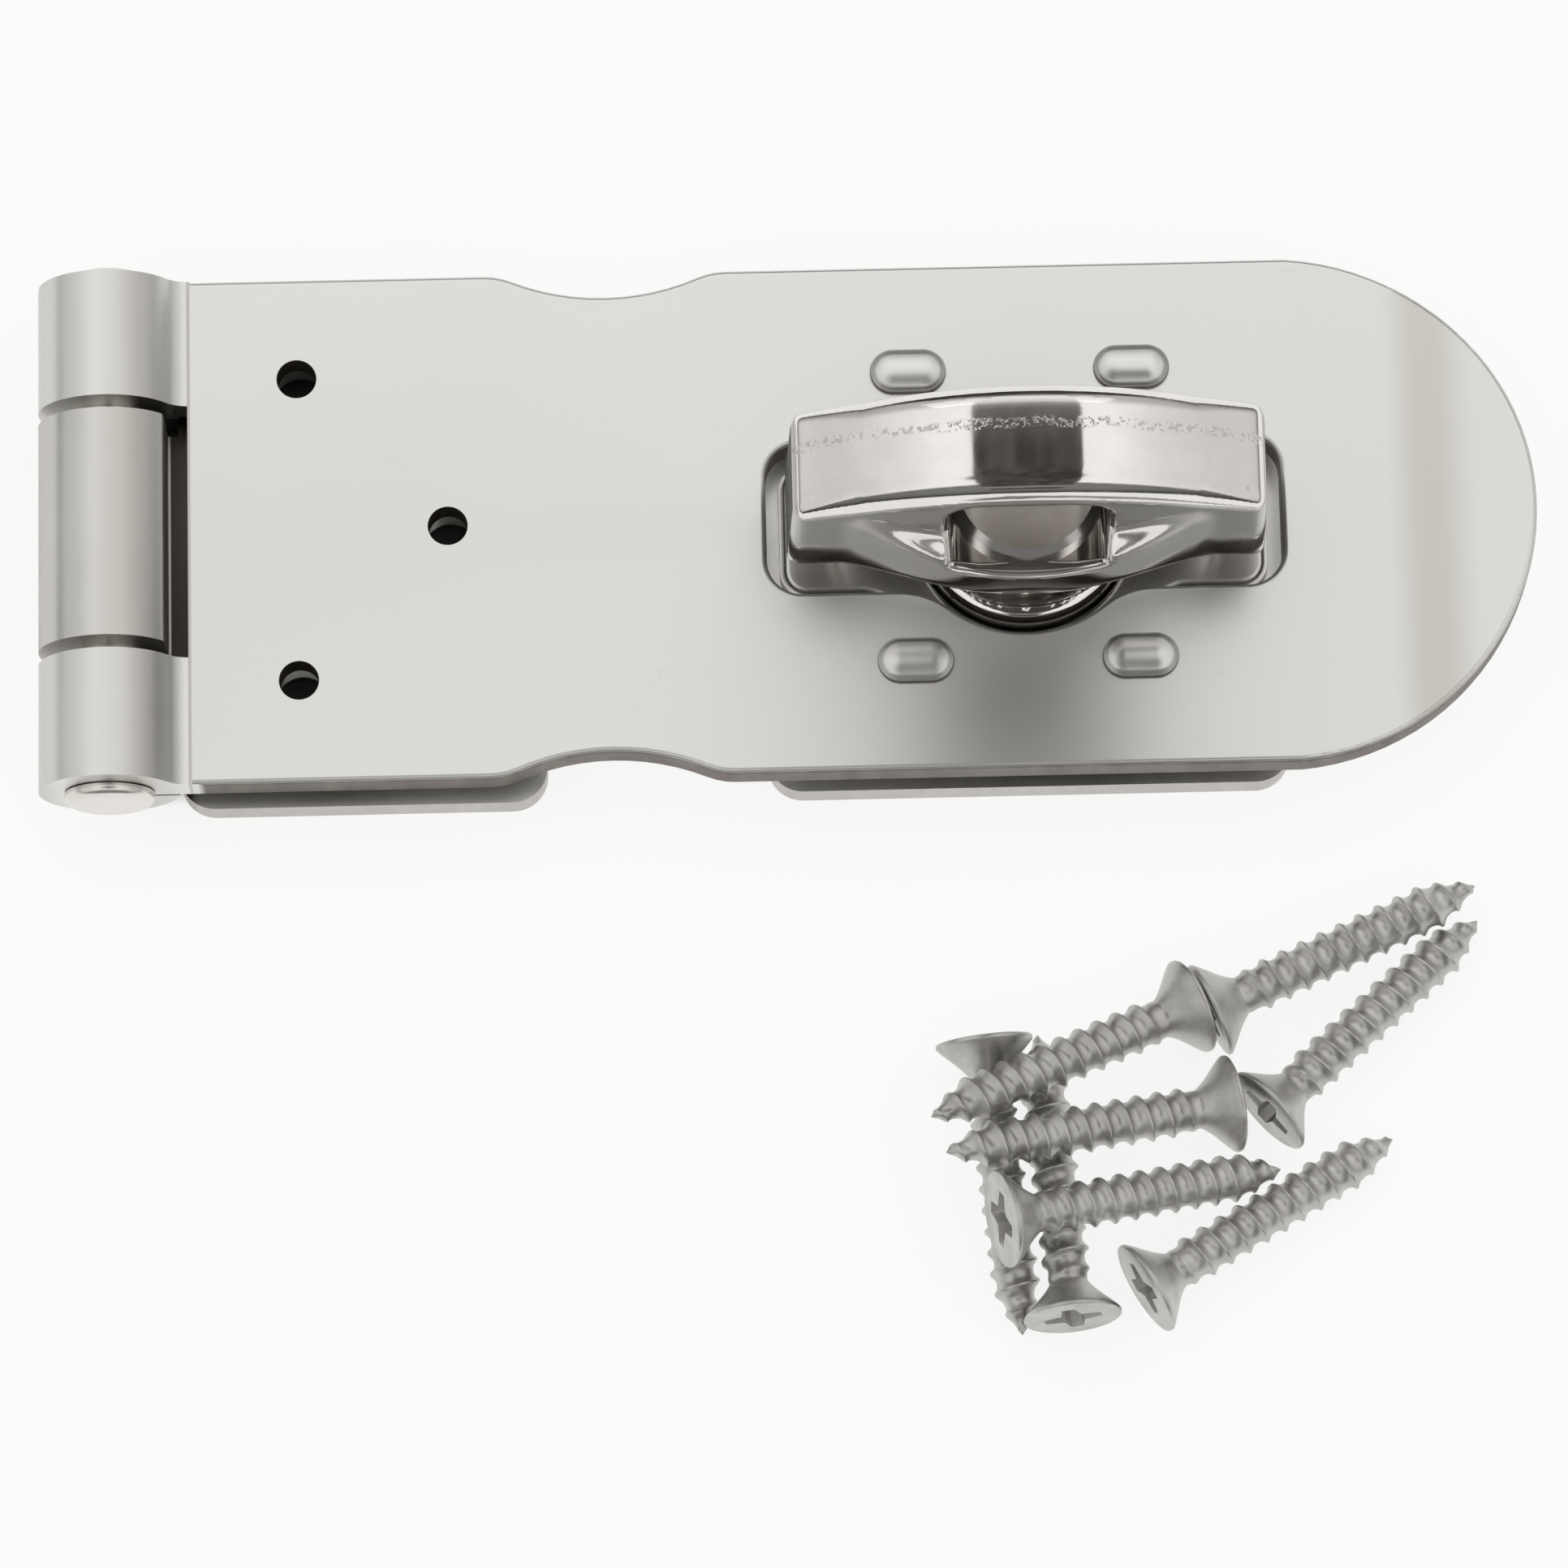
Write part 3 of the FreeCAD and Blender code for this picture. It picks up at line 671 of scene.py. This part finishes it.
def dark_flag():
    """A small black flag above the arch, seen only in reflections."""
    half_x, low_y, high_y, height = 9.0, -55.0, 24.0, 45.0
    corners = ((-half_x, low_y), (half_x, low_y), (half_x, high_y), (-half_x, high_y))
    mesh = bpy.data.meshes.new("dark_flag")
    places = [((staple_x + x) * MM, y * MM, height * MM) for x, y in corners]
    mesh.from_pydata(places, [], [(0, 1, 2, 3)])
    flag = bpy.data.objects.new("dark_flag", mesh)
    bpy.context.scene.collection.objects.link(flag)
    shader = Shader("flag_black")
    shader.set(Roughness=1.0, Emission_Strength=1.0)
    shader.surface.inputs["Base Color"].default_value = (0.0, 0.0, 0.0, 1.0)
    streaks = shader.noise(120.0, (2.5, 1.0, 1.0), detail=3.0)
    tone = shader.blend(shader.ramp(streaks, 0.35, 0.7), (0.035, 0.032, 0.030), (0.085, 0.078, 0.072))
    y = shader.axes()[1]
    # a lighter band near its near end
    band = shader.times(shader.ramp(y, -27.0 * MM, -28.5 * MM), shader.ramp(y, -40.0 * MM, -36.0 * MM))
    tone = shader.blend(band, tone, (0.26, 0.235, 0.22))
    shader.link(tone, shader.surface.inputs["Emission Color"])
    clear = shader.node("ShaderNodeBsdfTransparent")
    mix = shader.node("ShaderNodeMixShader")
    shader.link(shader.ramp(y, 3.0 * MM, high_y * MM), mix.inputs[0])
    shader.link(shader.surface.outputs[0], mix.inputs[1])
    shader.link(clear.outputs[0], mix.inputs[2])
    shader.link(mix.outputs[0], shader.tree.nodes["Material Output"].inputs["Surface"])
    mesh.materials.append(shader.material)
    only_in_reflections(flag)


def only_in_reflections(flag):
    """Keeps a flag out of every ray but glossy ones."""
    flag.visible_camera = False
    flag.visible_diffuse = False
    flag.visible_shadow = False
    flag.visible_transmission = False


def studio_world():
    """A bright tent: dark near its hem, and with a dark round opening for the camera."""
    world = bpy.data.worlds.new("studio")
    bpy.context.scene.world = world
    world.use_nodes = True
    tree = world.node_tree
    background = tree.nodes["Background"]
    coordinates = tree.nodes.new("ShaderNodeTexCoord")
    parts = tree.nodes.new("ShaderNodeSeparateXYZ")
    tree.links.new(coordinates.outputs["Generated"], parts.inputs[0])
    dot = tree.nodes.new("ShaderNodeVectorMath")
    dot.operation = "DOT_PRODUCT"
    elevation = math.radians(camera_elevation)
    dot.inputs[1].default_value = (0.0, -math.cos(elevation), math.sin(elevation))
    tree.links.new(coordinates.outputs["Generated"], dot.inputs[0])

    def ramp(value, low, high, start, end):
        reach = tree.nodes.new("ShaderNodeMapRange")
        reach.interpolation_type = "SMOOTHSTEP"
        for name, number in (("From Min", low), ("From Max", high), ("To Min", start), ("To Max", end)):
            reach.inputs[name].default_value = number
        tree.links.new(value, reach.inputs["Value"])
        return reach.outputs[0]

    def times(first, second):
        made = tree.nodes.new("ShaderNodeMath")
        made.operation = "MULTIPLY"
        tree.links.new(first, made.inputs[0])
        tree.links.new(second, made.inputs[1])
        return made.outputs[0]

    hem = ramp(parts.outputs[2], 0.02, 0.32, 0.30, 1.08)
    near_side = ramp(parts.outputs[1], -0.74, -0.66, 0.20, 1.0)
    far_side = ramp(parts.outputs[1], 0.89, 0.94, 1.0, 0.15)
    far_fade = ramp(parts.outputs[1], 0.38, 0.80, 1.0, 0.52)
    aside = tree.nodes.new("ShaderNodeMath")
    aside.operation = "ABSOLUTE"
    tree.links.new(parts.outputs[0], aside.inputs[0])
    sides = ramp(aside.outputs[0], 0.35, 0.80, 1.0, 0.70)
    opening = ramp(dot.outputs["Value"], math.cos(math.radians(19)), math.cos(math.radians(14)), 1.0, 0.05)
    ends = times(times(near_side, far_fade), times(far_side, opening))
    tree.links.new(times(times(hem, sides), ends), background.inputs["Strength"])
    background.inputs["Color"].default_value = (1.0, 0.992, 0.978, 1.0)


def softbox(name, place, aim, size, power):
    """A rectangular area light."""
    light = bpy.data.lights.new(name, "AREA")
    light.shape = "RECTANGLE"
    light.size, light.size_y = size
    light.energy = power
    box = bpy.data.objects.new(name, light)
    bpy.context.scene.collection.objects.link(box)
    box.location = place
    box.rotation_mode = "QUATERNION"
    box.rotation_quaternion = (Vector(aim) - Vector(place)).to_track_quat("-Z", "Y")


def main_camera():
    """A long lens, high over the hasp's near side."""
    azimuth = math.radians(-1.3)
    elevation = math.radians(camera_elevation)
    aim = Vector((56.8, -21.1, 0.0)) * MM
    width = 133.2 * MM
    camera = bpy.data.cameras.new("camera")
    camera.sensor_width = 36.0
    camera.lens = 200.0
    distance = width * camera.lens / camera.sensor_width
    back = Vector((math.sin(azimuth) * math.cos(elevation), -math.cos(azimuth) * math.cos(elevation),
                   math.sin(elevation)))
    eye = bpy.data.objects.new("camera", camera)
    bpy.context.scene.collection.objects.link(eye)
    eye.location = aim + back * distance
    eye.rotation_mode = "QUATERNION"
    eye.rotation_quaternion = (-back).to_track_quat("-Z", "Y")
    bpy.context.scene.camera = eye


# --- making ------------------------------------------------------------------------------------------
main_camera()
floor()
studio_world()
softbox("back_softbox", (0.06, 0.75, 0.75), (0.06, 0.0, 0.0), (0.9, 0.5), 0.6)
dark_flag()
bpy.context.scene.view_settings.view_transform = "Standard"

sheet_finish = satin_sheet()
plate_finish = plate_sheet()
finish_node("hasp_leaf", sheet_finish)
finish_node("hinge_base", plate_finish)
finish_node("staple_base", plate_finish)
finish_node("hinge_pin", turned_steel("pin_steel", (0.80, 0.77, 0.73), 0.22))
rivet_finish = turned_steel("rivet_steel", (0.82, 0.80, 0.77), 0.14)
finish_node("pivot_rivet", rivet_finish)
finish_node("retaining_washer", rivet_finish)
staple_casting(polished_casting())
loose_screws(screw_steel())
